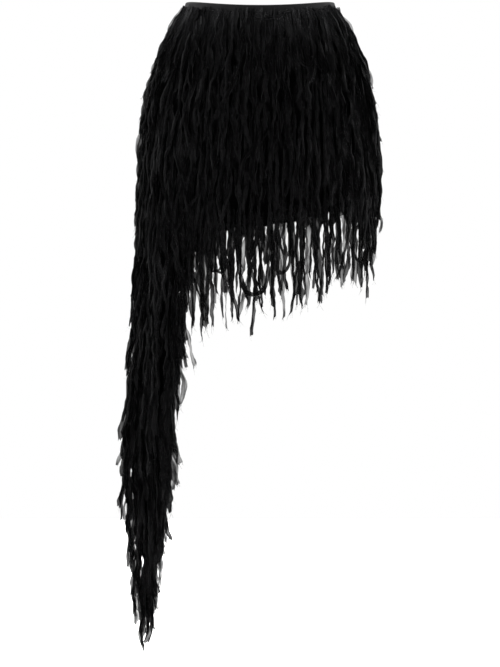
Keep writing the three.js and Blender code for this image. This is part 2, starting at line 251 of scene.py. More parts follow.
# The section of a strip, and its end
END_OPENS = (0.0, 0.55)  # share of its curl that a strip loses on its way from OPENS_FROM
OPENS_FROM = 0.6
CURL_LIMITS = (0.35, 5.8)
END_NARROWS = (0.05, 0.6)  # share of its width that a strip loses on its way from NARROWS_FROM
NARROWS_FROM = 0.78
NARROWING_CURVE = 1.5
GATHERED_TO = 0.2  # share of its length where a strip has its full width
PLEATS = (1.2, 2.6)  # across a strip
PLEAT_DEPTH = 0.09  # share of the section's radius
TORN_FROM = 0.82
SLANT = (-1.2, 1.2)  # of the end, as a share of the width
FORKED_SHARE = 0.25
FORK = (0.8, 1.8)  # depth of a forked end, as a share of the width
FORK_MIDDLE = 0.25
RAGGED = 0.12  # unevenness of an end, as a share of the width
LEAST_TORN_WIDTH = 0.006

# Kinds of strip: the width of the cut, and the curl of its section in radians
KIND_COLUMNS = ("narrow", "wide", "least_curl", "most_curl", "material")
KINDS = (
    (0.0100, 0.0160, 4.3, 5.8, 0),  # rolled into a cord
    (0.0090, 0.0140, 2.4, 3.8, 0),  # half open
    (0.0080, 0.0135, 0.7, 2.4, 1),  # open, so the light comes through
)

# Strips by the place where they start: the width of their cut beside the kind's own, the share of
# it at the root, how far those that aren't rolled turn from lying flat, the spread of their lean,
# the share that cross others, the depth of their waves, their length, and the share of each kind
PLACE_COLUMNS = (
    "cut", "gathered", "turn", "lean", "crossing", "wave", "shortest", "longest",
    "rolled", "half_open", "open",
)
PLACES = {
    "band": (1.05, 0.90, 0.12, 0.030, 0.02, 0.0010, 0.080, 0.130, 0.08, 0.42, 0.50),
    "body": (1.00, 0.55, 0.50, 0.038, 0.045, 0.0014, 0.108, 0.148, 0.68, 0.20, 0.12),
    "hem": (0.82, 0.60, 0.50, 0.028, 0.05, 0.0013, 0.104, 0.168, 0.60, 0.22, 0.18),
    "cover": (1.10, 0.80, 0.50, 0.060, 0.03, 0.0012, 0.012, 0.058, 0.40, 0.35, 0.25),
    "train": (1.15, 0.60, 0.50, 0.018, 0.01, 0.0008, 0.130, 0.190, 0.70, 0.20, 0.10),
    "edge": (1.15, 0.60, 0.50, 0.030, 0.00, 0.0010, 0.100, 0.150, 0.40, 0.25, 0.35),
}

# How long the strips at the hem are, beside their place's own length
HEM_LENGTH_COLUMNS = ("from_short_side", "hem", "cover")
HEM_LENGTHS = (
    (0, 0.86, 0.7), (25, 0.92, 0.7), (45, 0.97, 0.6), (60, 0.95, 0.6), (75, 1.00, 1.0),
    (90, 1.10, 1.3), (103, 1.14, 1.7), (120, 1.02, 1.5), (135, 1.00, 1.0), (180, 1.00, 1.0),
)

# Single strips that lie in loops and slants, or stand out at the sides: the row of fringe that
# each belongs to, the width of its cut, its curl and material, how far out it lies, and the points
# (x, z) that it passes. The lengths in this table are in millimetres.
PLACED_GATHERED = 0.6
PLACED_RISE = 0.3  # share of its length where a placed strip lies fully out
PLACED_COLUMNS = ("row", "width", "curl", "material", "out", "points")
PLACED = (
    ("front_1", 9, 4.6, 0, 4, ((-16, -26), (-10, -33), (2, -37), (18, -36), (32, -33), (42, -26))),
    ("front_2", 11, 5.0, 0, 14, ((58, -52), (59, -86), (60, -99), (67, -109), (75, -112), (81, -106),
        (84, -90), (82, -70))),
    ("front_2", 10, 4.6, 0, 14, ((87, -90), (94, -114), (103, -121), (112, -121), (115, -133),
        (117, -150))),
    ("front_2", 10, 4.8, 0, 12, ((35, -45), (42, -62), (36, -78), (32, -98), (33, -120), (30, -150))),
    ("front_3", 12, 4.6, 0, 16, ((-34, -118), (-40, -140), (-50, -156), (-62, -176), (-71, -196))),
    ("front_4", 11, 4.6, 0, 16, ((14, -212), (4, -232), (-12, -246), (-26, -262), (-30, -290))),
    ("front_5", 11, 4.6, 0, 16, ((-98, -270), (-94, -300), (-104, -322), (-120, -340), (-130, -366))),
    ("front_7", 16, 5.2, 0, 13, ((13, -340), (12, -400), (12, -432), (9, -450), (1, -463), (-10, -468),
        (-20, -466), (-26, -457), (-28, -446))),
    ("front_7", 10, 5.0, 0, 12, ((146, -345), (147, -395), (151, -410), (158, -415), (164, -408),
        (167, -392))),
    ("front_7", 10, 5.0, 0, 12, ((-72, -355), (-74, -412), (-69, -430), (-60, -434), (-53, -424),
        (-55, -408))),
    ("front_7", 12, 2.0, 1, 6, ((184, -312), (190, -334), (194, -350), (191, -366))),
    ("front_7", 10.5, 4.6, 0, 12, ((168, -320), (171, -390), (171, -440), (170, -474))),
    ("front_7", 15, 3.6, 0, 11, ((157, -324), (158, -380), (157, -425), (160, -456))),
    ("front_7", 13, 2.2, 1, 12, ((146, -326), (147, -385), (150, -420), (148, -447))),
    ("front_7", 14, 3.2, 0, 12, ((119, -330), (121, -380), (119, -420), (123, -443))),
    ("front_7", 12, 2.9, 1, 12, ((-138, -474), (-131, -514), (-125, -546), (-115, -566))),
    ("front_7", 13, 3.4, 1, 14, ((-141, -503), (-133, -538), (-132, -570), (-128, -591), (-130, -618),
        (-127, -640))),
    ("front_7", 12, 3.5, 1, 16, ((-138, -510), (-130, -546), (-125, -586), (-118, -606), (-120, -622),
        (-125, -640))),
    ("back_2", 11, 4.8, 0, 14, ((-30, -60), (-33, -90), (-41, -104), (-52, -106), (-58, -94),
        (-55, -78))),
    ("back_2", 10.5, 4.6, 0, 13, ((72, -66), (64, -88), (66, -110), (58, -136))),
    ("back_3", 12, 4.6, 0, 16, ((18, -130), (28, -150), (30, -172), (42, -196))),
    ("back_4", 11, 4.6, 0, 16, ((-92, -190), (-82, -214), (-86, -240), (-76, -268))),
    ("back_5", 11, 4.6, 0, 16, ((96, -246), (88, -270), (90, -292), (78, -316))),
    ("back_7", 13, 5.0, 0, 12, ((52, -345), (51, -400), (46, -420), (36, -428), (27, -420), (25, -406))),
    ("back_7", 10, 5.0, 0, 12, ((-60, -352), (-62, -408), (-69, -424), (-78, -424), (-83, -412))),
    ("train_4", 12, 2.6, 1, 4, ((-206, -664), (-214, -694), (-220, -716), (-227, -736))),
    ("train_5", 15, 1.6, 1, 10, ((-143, -706), (-138, -726), (-134, -742), (-137, -758), (-142, -776))),
    ("train_6", 12, 3.0, 0, 4, ((-212, -750), (-218, -772), (-223, -790), (-226, -806))),
    ("train_7", 20, 0.9, 1, 3, ((-212, -786), (-217, -810), (-215, -830), (-211, -848))),
    ("train_8", 16, 1.2, 1, 3, ((-204, -850), (-207, -872), (-207, -892), (-205, -908))),
    ("train_8", 11, 1.4, 1, 6, ((-152, -815), (-149, -835), (-152, -858))),
    ("train_9", 14, 1.6, 1, 3, ((-196, -896), (-199, -920), (-202, -944))),
    ("train_9", 12, 2.4, 1, 6, ((-160, -880), (-157, -905), (-159, -932))),
    ("train_10", 14, 1.4, 1, 4, ((-190, -930), (-194, -950), (-193, -968), (-189, -976))),
    ("train_10", 20, 4.8, 0, 5, ((-183, -900), (-184, -940), (-186, -972), (-186, -996), (-184, -1012))),
    ("train_10", 19, 4.6, 0, 7, ((-176, -890), (-176, -930), (-178, -960), (-179, -985), (-180, -1004))),
    ("train_10", 19, 4.8, 0, 4, ((-179, -915), (-181, -954), (-188, -983), (-191, -1002), (-189, -1018),
        (-186, -1031))),
    ("train_10", 19, 4.6, 0, 8, ((-174, -920), (-174, -966), (-173, -990), (-176, -1008), (-181, -1022))),
    ("train_10", 15, 3.4, 0, 11, ((-184, -910), (-182, -950), (-180, -980), (-179, -1000),
        (-183, -1016))),
    ("train_10", 13, 2.8, 1, 7, ((-168, -905), (-165, -935), (-166, -962), (-169, -978))),
)

# Painted light: the colour gets paler between the first two heights below, mostly near the upper
# one. Painted shade: it gets deeper between the next two, down to the share of its colour given last.
PAINTED_LIGHT_FROM = -0.120
PAINTED_LIGHT_TO = -0.010
PAINTED_LIGHT_CURVE = 2.4
PAINTED_SHADE_FROM = -0.400
PAINTED_SHADE_TO = -1.000
DEEPEST_PAINTED_SHADE = 0.55

# The cloths: their darkest and lightest colour, their looks, the weave's pitch, the depth of fine
# creases, the least and the most that the cloth hides, and how many times as pale the painted light
# makes it at the waist
CLOTH_COLUMNS = (
    "dark", "light", "roughness", "gloss", "sheen", "thread", "crumple", "see_through",
    "painted_light_gain",
)
CLOTHS = {
    "rolled_chiffon": (
        (0.0022, 0.0022, 0.0024), (0.0054, 0.0054, 0.0056), 0.75, 0.04, 0.015, 0.0005, 0.0009,
        (0.88, 1.0), 5.6,
    ),
    "open_chiffon": (
        (0.0026, 0.0026, 0.0028), (0.0062, 0.0062, 0.0064), 0.75, 0.04, 0.015, 0.0005, 0.0009,
        (0.55, 0.95), 5.6,
    ),
    # the ground cloth is darker than the chiffon partly as painted shade where it shows in the gaps
    # between strips
    "ground_cloth": (
        (0.0008, 0.0008, 0.0009), (0.0016, 0.0016, 0.0017), 0.9, 0.0, 0.002, 0.0006, 0.0004,
        None, 8.0,
    ),
    "band_crepe": (
        (0.0045, 0.0045, 0.0047), (0.0070, 0.0070, 0.0072), 0.7, 0.04, 0.015, 0.0004, 0.0002,
        None, 2.5,
    ),
}
CREASE_SCALE = (1.0, 0.16, 1.0)  # creases are drawn out along a strip
CREASE_NOISE = {"Scale": 190.0, "Detail": 3.0, "Roughness": 0.45, "Distortion": 0.4}
CREASE_STRENGTH = 0.8
PATCH_NOISE = {"Scale": 60.0, "Detail": 2.0}
WEAVE_RELIEF = 0.15  # share of a thread's pitch
WEAVE_STRENGTH = 0.3
THINNEST, THICKEST = 0.35, 0.65  # values of the noise where the cloth hides least and most
SHEEN_ROUGHNESS = 0.4
SHEEN_TINT = (0.8, 0.8, 0.82, 1)

# Loose threads at a strip's end
FRAY_THREADS = 4
FRAY_LENGTH = (0.003, 0.011)
FRAY_WIDTH = 0.00035
FRAY_STATIONS = 5
FRAY_AIMED_FROM = -4  # a thread runs on the way that the strip has from this station
FRAY_SCATTER = 0.15
FRAY_BOW = 0.3
MOST_FRAY_BOW = 0.5

# The square map of a row's strips: how many fit across for one down, and a strip's edges in its
# own cell
MAP_SHAPE = 8
MAP_ACROSS = (0.06, 0.94)
MAP_DOWN = (0.98, 0.02)


def columns(names, table):
    """The columns of a table of numbers by name."""
    return dict(zip(names, np.array(table, float).T))


def named_rows(names, table):
    """The rows of a table, each with its values by name."""
    return [dict(zip(names, row)) for row in table]


def keyed_rows(names, table):
    """The same, where each row of the table has a key."""
    return {key: dict(zip(names, row)) for key, row in table.items()}


SECTION = columns(SECTION_COLUMNS, SECTIONS)
HEM_LINE = columns(HEM_COLUMNS, HEM)
HEM_LENGTH = columns(HEM_LENGTH_COLUMNS, HEM_LENGTHS)
KIND = columns(KIND_COLUMNS, KINDS)
PLACE = keyed_rows(PLACE_COLUMNS, PLACES)
WAVE = keyed_rows(WAVE_COLUMNS, WAVES)


def smooth_curve(along, values, at):
    """Values of a table on a smooth curve that never overshoots its rows."""
    order = np.argsort(along)
    x, y = along[order], values[order]
    slope = np.diff(y) / np.diff(x)
    before, after = slope[:-1], slope[1:]
    total = np.where(before * after > 0, before + after, 1)
    inner = np.where(before * after > 0, 2 * before * after / total, 0)
    tangent = np.concatenate([slope[:1], inner, slope[-1:]])
    place = np.clip(at, x[0], x[-1])
    i = np.clip(np.searchsorted(x, place) - 1, 0, len(x) - 2)
    width = x[i + 1] - x[i]
    t = (place - x[i]) / width
    return (
        y[i] * (2 * t**3 - 3 * t**2 + 1)
        + tangent[i] * width * (t**3 - 2 * t**2 + t)
        + y[i + 1] * (3 * t**2 - 2 * t**3)
        + tangent[i + 1] * width * (t**3 - t**2)
    )


def section_at(angle, z):
    """Left edge, half width, depth and fold depth of the form at each place."""
    left, half_width, front, back, fold = (
        smooth_curve(SECTION["z"], SECTION[name], z) for name in SECTION_COLUMNS[1:]
    )
    depth = np.where(np.sin(np.radians(angle)) >= 0, front, back)
    return left, half_width, depth, fold


def outward(angle, z):
    """Level direction out of the form, without the small folds."""
    _, half_width, depth, _ = section_at(angle, z)
    turn = np.radians(angle)
    x, y = depth * np.cos(turn), -half_width * np.sin(turn)
    size = np.hypot(x, y)
    return np.stack([x / size, y / size, np.zeros_like(x)], -1)


def form(angle, z, out=0.0):
    """Points of the worn form, moved out."""
    angle, z = np.broadcast_arrays(np.asarray(angle, float), np.asarray(z, float))
    left, half_width, depth, fold_depth = section_at(angle, z)
    turn = np.radians(angle)
    flat = np.stack([left + half_width * (1 + np.cos(turn)), -depth * np.sin(turn), z], -1)
    move = fold_depth * np.cos(FOLDS * turn) + out
    return flat + outward(angle, z) * np.asarray(move)[..., None]


def round_speed(angle, z):
    """Metres of cloth for each radian round the form."""
    _, half_width, depth, _ = section_at(angle, z)
    turn = np.radians(angle)
    return np.hypot(half_width * np.sin(turn), depth * np.cos(turn))


def waist_height(angle):
    share = np.sin(np.radians(angle)) ** 2
    front = np.sin(np.radians(angle)) >= 0
    return np.where(front, -FRONT_DIP * share, BACK_RISE * share)


def from_short_side(angle):
    round_it = np.mod(angle, 360)
    return np.minimum(round_it, 360 - round_it)


def hem_height(angle):
    return smooth_curve(HEM_LINE["from_short_side"], HEM_LINE["z"], from_short_side(angle))


def ragged_hem(angle):
    """The raw edge of the ground cloth, a little uneven along the hem."""
    turn = np.radians(angle)
    uneven = sum(share * np.sin(count * turn + phase) for count, share, phase in HEM_WAVES)
    return hem_height(angle) + HEM_RAGGED * uneven / 2


def panel_top(angle):
    return waist_height(angle) - BAND_HEIGHT - SEAM_GAP


def row_height(row, angle):
    """Height of a row of fringe on the body; row 0 starts right under the band."""
    top = panel_top(angle) - FIRST_ROW_DROP
    bottom = np.maximum(hem_height(angle), TRAIN_TOP) + HEM_MARGIN
    return top + (bottom - top) * row / (BODY_ROWS - 1)


def smooth_step(low, high, x):
    t = np.clip((x - low) / (high - low), 0, 1)
    return t * t * (3 - 2 * t)


def unit(vectors):
    return vectors / np.linalg.norm(vectors, axis=-1, keepdims=True)


def add_object(name, data, location=(0, 0, 0), turned=(0, 0, 0)):
    ob = bpy.data.objects.new(name, data)
    ob.location = location
    ob.rotation_euler = turned
    bpy.context.scene.collection.objects.link(ob)
    return ob


def new_mesh(name, points, faces, uv, materials, slots=None, flat_map=None):
    """A smooth mesh object.

    uv has a pair for each point, in metres along the cloth. flat_map has a pair for each too, and
    gives every strip its own place in the unit square.
    """
    mesh = bpy.data.meshes.new(name)
    faces = np.asarray(faces, np.int32)
    mesh.vertices.add(len(points))
    mesh.vertices.foreach_set("co", np.asarray(points, np.float32).ravel())
    mesh.loops.add(faces.size)
    mesh.loops.foreach_set("vertex_index", faces.ravel())
    mesh.polygons.add(len(faces))
    starts = np.arange(len(faces), dtype=np.int32) * faces.shape[1]
    mesh.polygons.foreach_set("loop_start", starts)
    mesh.polygons.foreach_set("use_smooth", np.ones(len(faces), bool))
    for name_of_map, pairs in (("cloth", uv), ("OFBake", flat_map)):
        if pairs is not None:
            layer = mesh.uv_layers.new(name=name_of_map)
            layer.uv.foreach_set("vector", np.asarray(pairs, np.float32)[faces.ravel()].ravel())
    for material in materials:
        mesh.materials.append(material)
    if slots is not None:
        mesh.polygons.foreach_set("material_index", np.asarray(slots, np.int32))
    mesh.update(calc_edges=True)
    mesh.validate()
    return add_object(name, mesh)


def grid_faces(rows, across, closed=False):
    """Faces of a grid of points, rows by across, as corners' numbers."""
    i = np.arange(rows - 1)[:, None]
    j = np.arange(across if closed else across - 1)[None, :]
    k = (j + 1) % across
    corners = (i * across + j, (i + 1) * across + j, (i + 1) * across + k, i * across + k)
    return np.stack(np.broadcast_arrays(*corners), -1).reshape(-1, 4)


# Materials


def node_maker(owner):
    """Clears the nodes of a material or world. The function it gives adds one node to them."""
    owner.use_nodes = True
    tree = owner.node_tree
    tree.nodes.clear()

    def make(kind, inputs=None, **settings):
        node = tree.nodes.new(kind)
        for key, value in settings.items():
            setattr(node, key, value)
        for key, value in (inputs or {}).items():
            if isinstance(value, bpy.types.NodeSocket):
                tree.links.new(value, node.inputs[key])
            else:
                node.inputs[key].default_value = value
        return node

    return make


def calculate(make, operation, *values):
    """The output of a maths node."""
    return make("ShaderNodeMath", dict(enumerate(values)), operation=operation).outputs[0]


def map_range(make, value, low, high, to_low, to_high):
    """The output of a node that turns low to high into to_low to to_high."""
    inputs = dict(enumerate((value, low, high, to_low, to_high)))
    return make("ShaderNodeMapRange", inputs).outputs[0]


def painted_light_by_height(make, colour, painted_gain):
    """The colour, with painted light that makes it paler towards the waist and painted shade deeper at
    the train.
    """
    place = make("ShaderNodeTexCoord").outputs["Object"]
    height = make("ShaderNodeSeparateXYZ", {0: place}).outputs["Z"]
    rise = map_range(make, height, PAINTED_LIGHT_FROM, PAINTED_LIGHT_TO, 0.0, 1.0)
    share = calculate(make, "POWER", rise, PAINTED_LIGHT_CURVE)
    painted_paler = calculate(make, "MULTIPLY_ADD", share, painted_gain - 1, 1.0)
    painted_deeper = map_range(make, height, PAINTED_SHADE_TO, PAINTED_SHADE_FROM, DEEPEST_PAINTED_SHADE, 1.0)
    scale = calculate(make, "MULTIPLY", painted_paler, painted_deeper)
    scaled = make("ShaderNodeVectorMath", {0: colour, "Scale": scale}, operation="SCALE")
    return scaled.outputs[0]


def cloth_material(
    name, dark, light, roughness, gloss, sheen, thread, crumple, see_through, painted_light_gain
):
    """Black woven cloth. see_through is None where it hides everything behind it."""
    material = bpy.data.materials.new(name)
    make = node_maker(material)
    place = make("ShaderNodeTexCoord").outputs["UV"]
    split = make("ShaderNodeSeparateXYZ", {0: place})
    threads = []
    for axis in ("X", "Y"):
        turns = calculate(make, "MULTIPLY", split.outputs[axis], 2 * math.pi / thread)
        threads.append(calculate(make, "SINE", turns))
    weave = calculate(make, "MULTIPLY", *threads)
    drawn_out = make("ShaderNodeMapping", {"Vector": place, "Scale": CREASE_SCALE}).outputs[0]
    wrinkles = make("ShaderNodeTexNoise", {"Vector": drawn_out, **CREASE_NOISE}).outputs["Fac"]
    patches = make("ShaderNodeTexNoise", {"Vector": place, **PATCH_NOISE}).outputs["Fac"]
    colours = {"Factor": patches, "A": (*dark, 1), "B": (*light, 1)}
    colour = make("ShaderNodeMix", colours, data_type="RGBA")
    relief = {"Height": weave, "Distance": thread * WEAVE_RELIEF, "Strength": WEAVE_STRENGTH}
    fine = make("ShaderNodeBump", relief).outputs[0]
    relief = {"Height": wrinkles, "Distance": crumple, "Strength": CREASE_STRENGTH}
    bump = make("ShaderNodeBump", relief | {"Normal": fine})
    inputs = {
        # the base colour carries painted light near the waist and painted shade towards the train's tip
        "Base Color": painted_light_by_height(make, colour.outputs["Result"], painted_light_gain),
        "Roughness": roughness,
        "Specular IOR Level": gloss,
        "Sheen Weight": sheen,
        "Sheen Roughness": SHEEN_ROUGHNESS,
        "Sheen Tint": SHEEN_TINT,
        "Normal": bump.outputs[0],
    }
    if see_through:
        inputs["Alpha"] = map_range(make, wrinkles, THINNEST, THICKEST, *see_through)
    shader = make("ShaderNodeBsdfPrincipled", inputs)
    make("ShaderNodeOutputMaterial", {"Surface": shader.outputs[0]})
    return material


MATERIALS = {
    name: cloth_material(name, **cloth) for name, cloth in keyed_rows(CLOTH_COLUMNS, CLOTHS).items()
}


# Camera, floor and light


def camera():
    middle_x = (PHOTO_WIDTH / 2 - WAIST_PIXEL[0]) * METRES_PER_PIXEL
    middle_z = (WAIST_PIXEL[1] - PHOTO_HEIGHT / 2) * METRES_PER_PIXEL
    data = bpy.data.cameras.new("camera")
    data.sensor_fit = "VERTICAL"
    data.sensor_height = data.sensor_width = SENSOR
    data.lens = SENSOR * CAMERA_DISTANCE / (PHOTO_HEIGHT * METRES_PER_PIXEL)
    location = (middle_x, -CAMERA_DISTANCE, middle_z)
    bpy.context.scene.camera = add_object("camera", data, location, (math.pi / 2, 0, 0))


def softbox(name, location, target, size, power):
    data = bpy.data.lights.new(name, "AREA")
    data.shape = "RECTANGLE"
    data.size, data.size_y = size
    data.energy = power
    x, y, z = np.array(target, float) - np.array(location, float)
    tilt = math.pi / 2 - math.atan2(-z, math.hypot(x, y))
    add_object(name, data, location, (tilt, 0, math.atan2(-x, y)))


def studio_surroundings():
    """White walls all round, under a dimmer ceiling."""
    world = bpy.data.worlds.new("studio")
    make = node_maker(world)
    place = make("ShaderNodeTexCoord").outputs["Generated"]
    rise = make("ShaderNodeSeparateXYZ", {0: place}).outputs["Z"]
    light = map_range(make, rise, WALLS_END, CEILING_STARTS, 1.0, CEILING_LIGHT)
    walls = make("ShaderNodeBackground", {"Color": (1, 1, 1, 1), "Strength": light})
    make("ShaderNodeOutputWorld", {"Surface": walls.outputs[0]})
    bpy.context.scene.world = world


def studio():
    bpy.context.scene.view_settings.view_transform = "Standard"
    studio_surroundings()

    floor_z = cad_box[0][2] - FLOOR_DROP
    signs = [(1, 1), (-1, 1), (-1, -1), (1, -1)]
    corners = [(x * FLOOR_REACH, y * FLOOR_REACH, floor_z) for x, y in signs]
    pale = bpy.data.materials.new("pale_floor")
    make = node_maker(pale)
    look = {
        "Base Color": (FLOOR_GREY, FLOOR_GREY, FLOOR_GREY, 1),
        "Roughness": FLOOR_ROUGHNESS,
        "Emission Color": (1, 1, 1, 1),
        "Emission Strength": FLOOR_GLOW,
    }
    shader = make("ShaderNodeBsdfPrincipled", look)
    make("ShaderNodeOutputMaterial", {"Surface": shader.outputs[0]})
    new_mesh("floor", corners, [(0, 1, 2, 3)], None, [pale])

    for light in named_rows(LIGHT_COLUMNS, LIGHTS):
        softbox(**light)


# Cloth


def creases(angle, z):
    """How far the ground cloth stands out or in at each place."""
    total = np.zeros_like(z)
    for crease in named_rows(CREASE_COLUMNS, CREASES):
        start, end = crease["angle"], crease["to_angle"]
        share = (crease["z"] - z) / (crease["z"] - crease["to_z"])
        straight = start + (end - start) * np.clip(share, 0, 1)
        middle = straight + CREASE_WANDER * np.sin(CREASE_BENDS * share + start)
        away = np.radians(angle - middle) * round_speed(angle, z)
        fade = smooth_step(0, CREASE_STARTS_BY, share)
        fade *= 1 - smooth_step(CREASE_FADES_FROM, 1, share)
        total += crease["out"] * fade * np.exp(-((away / crease["width"]) ** 2))
    return total


def make_thick(piece, thickness):
    """Gives a sheet its thickness, half to either side."""
    thick = piece.modifiers.new("cloth", "SOLIDIFY")
    thick.thickness = thickness
    thick.offset = 0


def stand_in(piece, node):
    """The piece takes the place of a solid, and rides on the skirt's one body."""
    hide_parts(node)
    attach(piece, "root")


def declare_sheet(middle):
    """Works out the area of a cloth and keeps nothing of it. middle is the grid of points of its middle
    surface.
    """
    down, across = middle[1:, :-1] - middle[:-1, :-1], middle[:-1, 1:] - middle[:-1, :-1]
    area = float(np.linalg.norm(np.cross(down, across), axis=-1).sum())


def panel(side):
    """A panel of ground cloth from side seam to side seam, on the form of its solid."""
    first = 0 if side == "front" else 180
    lap = SEAM_LAP if side == "front" else 0
    more = math.degrees(lap / round_speed(0, SEAM_MEASURED_AT))
    angle = np.linspace(first - more, first + 180 + more, PANEL_COLUMNS)
    share = np.linspace(0, 1, PANEL_ROWS)[:, None]
    top = panel_top(angle)
    z = top + (ragged_hem(angle) - top) * share
    angles = np.broadcast_to(angle, z.shape)
    to_edge = np.minimum(angles - angle[0], angle[-1] - angles)
    tuck = SEAM_TUCK * (1 - smooth_step(more, 2 * more + TUCK_ENDS, to_edge)) * (lap > 0)
    points = form(angles, z, creases(angles, z) - tuck)
    along = np.linspace(0, PANEL_CUT[0], PANEL_COLUMNS)
    uv = np.stack(np.broadcast_arrays(along, z), -1)
    piece = new_mesh(
        side + "_cloth", points.reshape(-1, 3), grid_faces(PANEL_ROWS, PANEL_COLUMNS),
        uv.reshape(-1, 2), [MATERIALS["ground_cloth"]],
    )
    make_thick(piece, PANEL_CLOTH)
    stand_in(piece, side + "_panel")
    declare_sheet(points)


def waistband():
    """The band, one strip folded over double, with its fold at the top."""
    angle = np.linspace(0, 360, BAND_COLUMNS, endpoint=False)
    bend = np.linspace(0, math.pi, BAND_FOLD_POINTS)
    radius = BAND_WIDTH / 2
    wall = np.linspace(-BAND_HEIGHT, -radius, BAND_WALL_POINTS, endpoint=False)
    level = np.full(BAND_WALL_POINTS, radius)
    out = np.concatenate([-level, -radius * np.cos(bend), level])
    rise = np.concatenate([wall, -radius + radius * np.sin(bend), wall[::-1]])
    z = waist_height(angle)[None, :] + rise[:, None]
    points = form(np.broadcast_to(angle, z.shape), z, out[:, None])
    along = np.linspace(0, BAND_CUT[0], BAND_COLUMNS)
    across = np.linspace(0, BAND_CUT[1], len(out))[:, None]
    uv = np.stack(np.broadcast_arrays(along, across), -1)
    faces = grid_faces(len(out), BAND_COLUMNS, closed=True)
    crepe = [MATERIALS["band_crepe"]]
    piece = new_mesh("band", points.reshape(-1, 3), faces, uv.reshape(-1, 2), crepe)
    make_thick(piece, BAND_CLOTH)
    stand_in(piece, "waistband")
    declare_sheet(np.concatenate([points, points[:, :1]], axis=1))


# Fringe


def waves(rng, distance, kind, scale=1.0):
    """Smooth uneven waves along each strip, at each distance from its root."""
    wave = WAVE[kind]
    total = np.zeros_like(distance)
    for period in wave["periods"]:
        phase = rng.uniform(0, 2 * math.pi, (len(distance), 1))
        stretch = rng.uniform(*WAVE_STRETCH, (len(distance), 1))
        total += np.sin(2 * math.pi * distance * stretch / period + phase)
    total *= wave["depth"] * scale / math.sqrt(len(wave["periods"]))
    if wave["starts_by"]:
        total *= smooth_step(0, wave["starts_by"], ALONG)
    return total


def strip_paths(rng, angle, z, length, lean, hook, loose, flick, wave):
    """The middle line of each strip and the way out of the form along it."""
    distance = length[:, None] * ALONG
    sideways = lean[:, None] * distance + hook[:, None] * ALONG**3
    sideways += waves(rng, distance, "sway", wave)
    sideways += waves(rng, distance, "kinks")
    step = length[:, None] / (STATIONS - 1)
    move = np.diff(sideways, axis=1)
    fall = np.sqrt(np.maximum(step**2 - move**2, (LEAST_FALL * step) ** 2))
    drop = np.concatenate([np.zeros((len(z), 1)), np.cumsum(fall, axis=1)], axis=1)
    height = z[:, None] - drop
    turned = angle[:, None] + np.degrees(sideways / round_speed(angle, z)[:, None])
    at_root = form(turned, np.broadcast_to(z[:, None], height.shape))
    normal = outward(turned, height)
    flare = np.einsum("ijk,ijk->ij", form(turned, height) - at_root, normal)
    flare = np.maximum.accumulate(np.maximum(flare, 0), axis=1)
    rests_to = np.maximum(height, hem_height(turned))
    push_ends = PUSH_END - PUSH_FALL * from_short_side(angle)
    most = np.maximum(z - push_ends, 0)[:, None]
    push = PILE_LIFT * np.clip(z[:, None] - rests_to, 0, most)
    swing = waves(rng, distance, "swing")
    swing += loose[:, None] * np.sin(math.pi * np.minimum(ALONG * LOOSE_BOW, 1))
    swing += flick[:, None] * ALONG**2
    out = STRIP_SET_OFF + flare + push + np.maximum(swing, -push * MOST_INWARD)
    path = at_root + normal * out[..., None]
    path[..., 2] = height
    return path, normal


def placed_path(side, out, points):
    """The middle line of a strip on the front or the back through the given points."""
    x, z = np.array(points, float).T / MILLIMETRES
    out = out / MILLIMETRES
    so_far = np.concatenate([[0], np.cumsum(np.hypot(np.diff(x), np.diff(z)))])
    at = np.linspace(0, so_far[-1], STATIONS)
    x, z = smooth_curve(so_far, x, at), smooth_curve(so_far, z, at)
    left, half_width, _, _ = section_at(np.full_like(z, 90), z)
    angle = np.degrees(np.arccos(np.clip((x - left) / half_width - 1, -1, 1)))
    angle = 360 - angle if side == "back" else angle
    risen = smooth_step(0, PLACED_RISE, at / so_far[-1])
    rise = STRIP_SET_OFF + (out - STRIP_SET_OFF) * risen
    path = form(angle, z, rise)
    path[:, 0] = x
    return path, outward(angle, z), so_far[-1]


def strip_sections(rng, distance, width, curl, gathered, turned):
    """Points of each section across and out, and the width of the cut there."""
    count = len(width)
    opening = 1 - rng.uniform(*END_OPENS, (count, 1)) * smooth_step(OPENS_FROM, 1, ALONG)
    curl = curl[:, None] * opening * (1 + waves(rng, distance, "curl"))
    curl = np.clip(curl, *CURL_LIMITS)
    narrowing = smooth_step(NARROWS_FROM, 1, ALONG) ** NARROWING_CURVE
    taper = 1 - rng.uniform(*END_NARROWS, (count, 1)) * narrowing
    gather = gathered[:, None] + (1 - gathered[:, None]) * smooth_step(0, GATHERED_TO, ALONG)
    cut = width[:, None] * taper * gather * (1 + waves(rng, distance, "cut"))
    twist = turned[:, None] + waves(rng, distance, "twist")

    radius = (cut / curl)[..., None]
    bend = curl[..., None] * ACROSS
    pleats = rng.uniform(*PLEATS, (count, 1, 1))
    phase = rng.uniform(0, 2 * math.pi, (count, 1)) + waves(rng, distance, "pleats")
    pleating = np.sin(2 * math.pi * pleats * ACROSS + phase[..., None])
    radius = radius * (1 + PLEAT_DEPTH * pleating)
    x = radius * np.sin(bend)
    y = radius * (1 - np.cos(bend))
    y -= y.mean(-1, keepdims=True)
    cos, sin = np.cos(twist)[..., None], np.sin(twist)[..., None]
    return x * cos - y * sin, x * sin + y * cos, cut


def torn_end(rng, cut):
    """How far each point of a strip lies beyond its station, for slanted and forked ends."""
    count = len(cut)
    slant = rng.uniform(*SLANT, (count, 1, 1))
    forked = rng.random((count, 1, 1)) < FORKED_SHARE
    fork = np.where(forked, rng.uniform(*FORK, (count, 1, 1)), 0)
    ragged = RAGGED * rng.standard_normal((count, 1, RIBS + 1))
    shape = slant * ACROSS + fork * (np.abs(ACROSS) - FORK_MIDDLE) + ragged
    torn = smooth_step(TORN_FROM, 1, ALONG[:, None])
    return shape * torn * np.maximum(cut, LEAST_TORN_WIDTH)[..., None]


